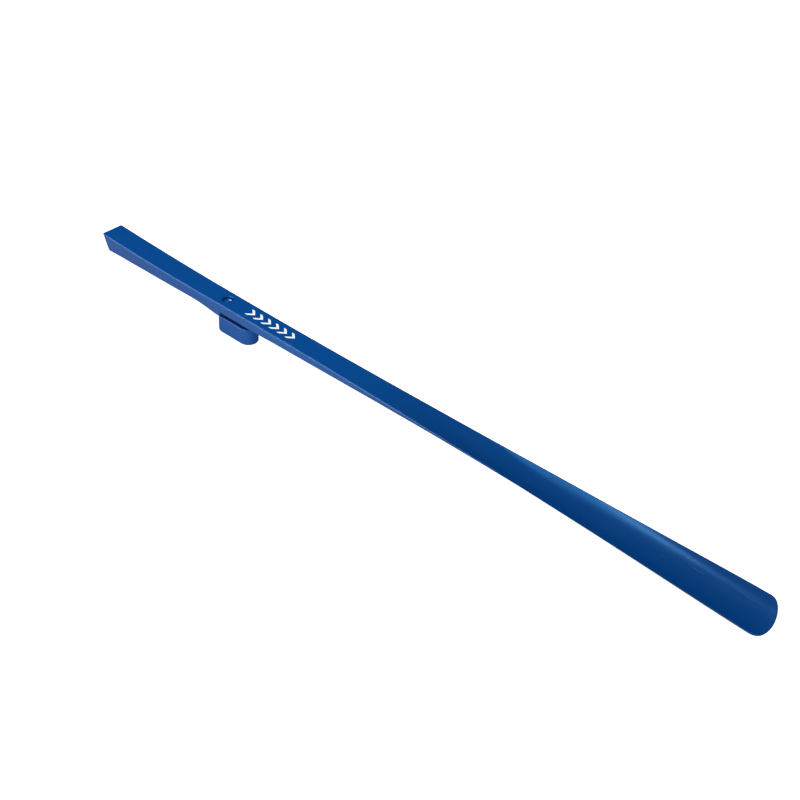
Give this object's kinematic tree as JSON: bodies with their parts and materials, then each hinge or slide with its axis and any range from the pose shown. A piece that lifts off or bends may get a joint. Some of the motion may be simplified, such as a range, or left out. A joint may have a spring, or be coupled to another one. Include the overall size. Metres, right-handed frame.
{
  "type": "long shoehorn with magnetic holder",
  "caption": "Long one-piece plastic shoehorn with a slim handle and a shallow trough blade, hung by its round hole on the peg of a small pill-shaped magnetic holder.",
  "frame": {"origin": "on the holder's flat mounting face, on the axis of the hanging peg", "axes": "+X along the shoehorn from the peg towards the blade, +Z out of the mounting face, which is also the way the shoehorn's front face looks, +Y to one long side"},
  "size_m": [0.65, 0.0392, 0.0278],
  "materials": {
    "body_plastic": "satin gloss, injection moulded",
    "holder_plastic": "satin gloss, injection moulded",
    "print_ink": "white pad-print ink, half matte",
    "washer_rubber": "smooth black rubber",
    "pad_rubber": "fine-textured black rubber",
    "cover_plastic": "fine-textured moulded plastic",
    "screw_steel": "zinc-plated steel",
    "yoke_steel": "nickel-plated sheet steel",
    "magnet_plating": "nickel plating, bright"
  },
  "bodies": {
    "holder": {"holder_case": "holder_plastic", "hang_peg": "holder_plastic", "peg_screw": "screw_steel", "upper_magnet": "magnet_plating", "lower_magnet": "magnet_plating", "yoke_plate": "yoke_steel", "back_cover": "cover_plastic", "cover_screw": "screw_steel", "back_pad": "pad_rubber"},
    "washer": {"pivot_washer": "washer_rubber"},
    "shoehorn": {"shoehorn_body": "body_plastic", "printed_mark": "print_ink"}
  },
  "joints": [
    {"name": "swing", "type": "hinge", "parent": "holder", "child": "washer", "pos_m": [0, 0, 0.0155], "axis": [0, 0, 1], "continuous": true},
    {"name": "lift_off", "type": "slide", "parent": "washer", "child": "shoehorn", "axis": [0, 0, 1], "range_m": [0, 0.02]}
  ]
}
